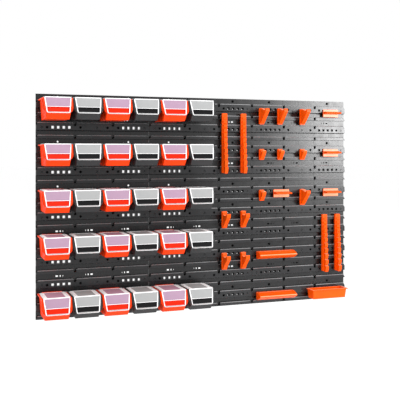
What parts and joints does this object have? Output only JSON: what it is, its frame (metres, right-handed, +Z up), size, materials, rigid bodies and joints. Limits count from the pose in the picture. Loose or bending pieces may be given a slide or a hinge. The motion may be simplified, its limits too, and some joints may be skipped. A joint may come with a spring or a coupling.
{
  "type": "workshop storage wall",
  "caption": "Wall-mounted rail panel rack of dark plastic with rows of lidded small-parts bins on the left and plug-in tool hooks, spanner racks, shelf holders and a tray on the right.",
  "frame": {"origin": "centre of the wall's flat back, on the line where the upper panels overlap the lower ones", "axes": "+X to the right as one faces the wall, +Y into the wall it hangs on, +Z up; the front faces -Y"},
  "size_m": [1.2, 0.1394, 0.77],
  "materials": {
    "panel_plastic": "satin moulded polypropylene, near black",
    "bin_red": "smooth moulded red plastic; every second bin of a row is black",
    "bin_black": "smooth moulded black plastic",
    "lid_clear": "frosted translucent plastic with polished edges",
    "holder_orange": "smooth moulded orange plastic"
  },
  "bodies": {
    "wall": {"panels_upper": "panel_plastic", "panels_lower": "panel_plastic", "bins_row_1": "bin_red", "bins_row_2": "bin_red", "bins_row_3": "bin_red", "bins_row_4": "bin_red", "bins_row_5": "bin_red", "large_hook_1": "holder_orange", "large_hook_2": "holder_orange", "large_hook_3": "holder_orange", "large_hook_4": "holder_orange", "small_hook_1": "holder_orange", "small_hook_2": "holder_orange", "small_hook_3": "holder_orange", "small_hook_4": "holder_orange", "notched_hook_1": "holder_orange", "notched_hook_2": "holder_orange", "notched_hook_3": "holder_orange", "notched_hook_4": "holder_orange", "spanner_rack_1": "holder_orange", "spanner_rack_2": "holder_orange", "spanner_rack_3": "holder_orange", "spanner_rack_4": "holder_orange", "short_holder_1": "holder_orange", "short_holder_2": "holder_orange", "short_holder_3": "holder_orange", "short_holder_4": "holder_orange", "long_holder_1": "holder_orange", "long_holder_2": "holder_orange", "parts_tray": "holder_orange"},
    "lid_r1_c1": {"lid_r1_c1": "lid_clear"},
    "lid_r1_c2": {"lid_r1_c2": "lid_clear"},
    "lid_r1_c3": {"lid_r1_c3": "lid_clear"},
    "lid_r1_c4": {"lid_r1_c4": "lid_clear"},
    "lid_r1_c5": {"lid_r1_c5": "lid_clear"},
    "lid_r1_c6": {"lid_r1_c6": "lid_clear"},
    "lid_r2_c1": {"lid_r2_c1": "lid_clear"},
    "lid_r2_c2": {"lid_r2_c2": "lid_clear"},
    "lid_r2_c3": {"lid_r2_c3": "lid_clear"},
    "lid_r2_c4": {"lid_r2_c4": "lid_clear"},
    "lid_r2_c5": {"lid_r2_c5": "lid_clear"},
    "lid_r2_c6": {"lid_r2_c6": "lid_clear"},
    "lid_r3_c1": {"lid_r3_c1": "lid_clear"},
    "lid_r3_c2": {"lid_r3_c2": "lid_clear"},
    "lid_r3_c3": {"lid_r3_c3": "lid_clear"},
    "lid_r3_c4": {"lid_r3_c4": "lid_clear"},
    "lid_r3_c5": {"lid_r3_c5": "lid_clear"},
    "lid_r3_c6": {"lid_r3_c6": "lid_clear"},
    "lid_r4_c1": {"lid_r4_c1": "lid_clear"},
    "lid_r4_c2": {"lid_r4_c2": "lid_clear"},
    "lid_r4_c3": {"lid_r4_c3": "lid_clear"},
    "lid_r4_c4": {"lid_r4_c4": "lid_clear"},
    "lid_r4_c5": {"lid_r4_c5": "lid_clear"},
    "lid_r4_c6": {"lid_r4_c6": "lid_clear"},
    "lid_r5_c1": {"lid_r5_c1": "lid_clear"},
    "lid_r5_c2": {"lid_r5_c2": "lid_clear"},
    "lid_r5_c3": {"lid_r5_c3": "lid_clear"},
    "lid_r5_c4": {"lid_r5_c4": "lid_clear"},
    "lid_r5_c5": {"lid_r5_c5": "lid_clear"},
    "lid_r5_c6": {"lid_r5_c6": "lid_clear"}
  },
  "joints": [
    {"name": "lid_r1_c1_hinge", "type": "hinge", "parent": "wall", "child": "lid_r1_c1", "pos_m": [-0.5425, -0.023, 0.3613], "axis": [-1, 0, 0], "range_deg": [0, 90]},
    {"name": "lid_r1_c2_hinge", "type": "hinge", "parent": "wall", "child": "lid_r1_c2", "pos_m": [-0.4421, -0.023, 0.3613], "axis": [-1, 0, 0], "range_deg": [0, 90]},
    {"name": "lid_r1_c3_hinge", "type": "hinge", "parent": "wall", "child": "lid_r1_c3", "pos_m": [-0.3417, -0.023, 0.3613], "axis": [-1, 0, 0], "range_deg": [0, 90]},
    {"name": "lid_r1_c4_hinge", "type": "hinge", "parent": "wall", "child": "lid_r1_c4", "pos_m": [-0.2413, -0.023, 0.3613], "axis": [-1, 0, 0], "range_deg": [0, 90]},
    {"name": "lid_r1_c5_hinge", "type": "hinge", "parent": "wall", "child": "lid_r1_c5", "pos_m": [-0.1409, -0.023, 0.3613], "axis": [-1, 0, 0], "range_deg": [0, 90]},
    {"name": "lid_r1_c6_hinge", "type": "hinge", "parent": "wall", "child": "lid_r1_c6", "pos_m": [-0.0405, -0.023, 0.3613], "axis": [-1, 0, 0], "range_deg": [0, 90]},
    {"name": "lid_r2_c1_hinge", "type": "hinge", "parent": "wall", "child": "lid_r2_c1", "pos_m": [-0.5425, -0.023, 0.2073], "axis": [-1, 0, 0], "range_deg": [0, 50]},
    {"name": "lid_r2_c2_hinge", "type": "hinge", "parent": "wall", "child": "lid_r2_c2", "pos_m": [-0.4421, -0.023, 0.2073], "axis": [-1, 0, 0], "range_deg": [0, 50]},
    {"name": "lid_r2_c3_hinge", "type": "hinge", "parent": "wall", "child": "lid_r2_c3", "pos_m": [-0.3417, -0.023, 0.2073], "axis": [-1, 0, 0], "range_deg": [0, 50]},
    {"name": "lid_r2_c4_hinge", "type": "hinge", "parent": "wall", "child": "lid_r2_c4", "pos_m": [-0.2413, -0.023, 0.2073], "axis": [-1, 0, 0], "range_deg": [0, 50]},
    {"name": "lid_r2_c5_hinge", "type": "hinge", "parent": "wall", "child": "lid_r2_c5", "pos_m": [-0.1409, -0.023, 0.2073], "axis": [-1, 0, 0], "range_deg": [0, 50]},
    {"name": "lid_r2_c6_hinge", "type": "hinge", "parent": "wall", "child": "lid_r2_c6", "pos_m": [-0.0405, -0.023, 0.2073], "axis": [-1, 0, 0], "range_deg": [0, 50]},
    {"name": "lid_r3_c1_hinge", "type": "hinge", "parent": "wall", "child": "lid_r3_c1", "pos_m": [-0.544, -0.023, 0.0533], "axis": [-1, 0, 0], "range_deg": [0, 50]},
    {"name": "lid_r3_c2_hinge", "type": "hinge", "parent": "wall", "child": "lid_r3_c2", "pos_m": [-0.4436, -0.023, 0.0533], "axis": [-1, 0, 0], "range_deg": [0, 50]},
    {"name": "lid_r3_c3_hinge", "type": "hinge", "parent": "wall", "child": "lid_r3_c3", "pos_m": [-0.3432, -0.023, 0.0533], "axis": [-1, 0, 0], "range_deg": [0, 50]},
    {"name": "lid_r3_c4_hinge", "type": "hinge", "parent": "wall", "child": "lid_r3_c4", "pos_m": [-0.2428, -0.023, 0.0533], "axis": [-1, 0, 0], "range_deg": [0, 50]},
    {"name": "lid_r3_c5_hinge", "type": "hinge", "parent": "wall", "child": "lid_r3_c5", "pos_m": [-0.1424, -0.023, 0.0533], "axis": [-1, 0, 0], "range_deg": [0, 50]},
    {"name": "lid_r3_c6_hinge", "type": "hinge", "parent": "wall", "child": "lid_r3_c6", "pos_m": [-0.042, -0.023, 0.0533], "axis": [-1, 0, 0], "range_deg": [0, 50]},
    {"name": "lid_r4_c1_hinge", "type": "hinge", "parent": "wall", "child": "lid_r4_c1", "pos_m": [-0.5455, -0.023, -0.1007], "axis": [-1, 0, 0], "range_deg": [0, 50]},
    {"name": "lid_r4_c2_hinge", "type": "hinge", "parent": "wall", "child": "lid_r4_c2", "pos_m": [-0.4451, -0.023, -0.1007], "axis": [-1, 0, 0], "range_deg": [0, 50]},
    {"name": "lid_r4_c3_hinge", "type": "hinge", "parent": "wall", "child": "lid_r4_c3", "pos_m": [-0.3447, -0.023, -0.1007], "axis": [-1, 0, 0], "range_deg": [0, 50]},
    {"name": "lid_r4_c4_hinge", "type": "hinge", "parent": "wall", "child": "lid_r4_c4", "pos_m": [-0.2443, -0.023, -0.1007], "axis": [-1, 0, 0], "range_deg": [0, 50]},
    {"name": "lid_r4_c5_hinge", "type": "hinge", "parent": "wall", "child": "lid_r4_c5", "pos_m": [-0.1439, -0.023, -0.1007], "axis": [-1, 0, 0], "range_deg": [0, 50]},
    {"name": "lid_r4_c6_hinge", "type": "hinge", "parent": "wall", "child": "lid_r4_c6", "pos_m": [-0.0435, -0.023, -0.1007], "axis": [-1, 0, 0], "range_deg": [0, 50]},
    {"name": "lid_r5_c1_hinge", "type": "hinge", "parent": "wall", "child": "lid_r5_c1", "pos_m": [-0.5455, -0.023, -0.2982], "axis": [-1, 0, 0], "range_deg": [0, 85]},
    {"name": "lid_r5_c2_hinge", "type": "hinge", "parent": "wall", "child": "lid_r5_c2", "pos_m": [-0.4451, -0.023, -0.2982], "axis": [-1, 0, 0], "range_deg": [0, 85]},
    {"name": "lid_r5_c3_hinge", "type": "hinge", "parent": "wall", "child": "lid_r5_c3", "pos_m": [-0.3447, -0.023, -0.2982], "axis": [-1, 0, 0], "range_deg": [0, 85]},
    {"name": "lid_r5_c4_hinge", "type": "hinge", "parent": "wall", "child": "lid_r5_c4", "pos_m": [-0.2443, -0.023, -0.2982], "axis": [-1, 0, 0], "range_deg": [0, 85]},
    {"name": "lid_r5_c5_hinge", "type": "hinge", "parent": "wall", "child": "lid_r5_c5", "pos_m": [-0.1439, -0.023, -0.2982], "axis": [-1, 0, 0], "range_deg": [0, 85]},
    {"name": "lid_r5_c6_hinge", "type": "hinge", "parent": "wall", "child": "lid_r5_c6", "pos_m": [-0.0435, -0.023, -0.2982], "axis": [-1, 0, 0], "range_deg": [0, 85]}
  ]
}
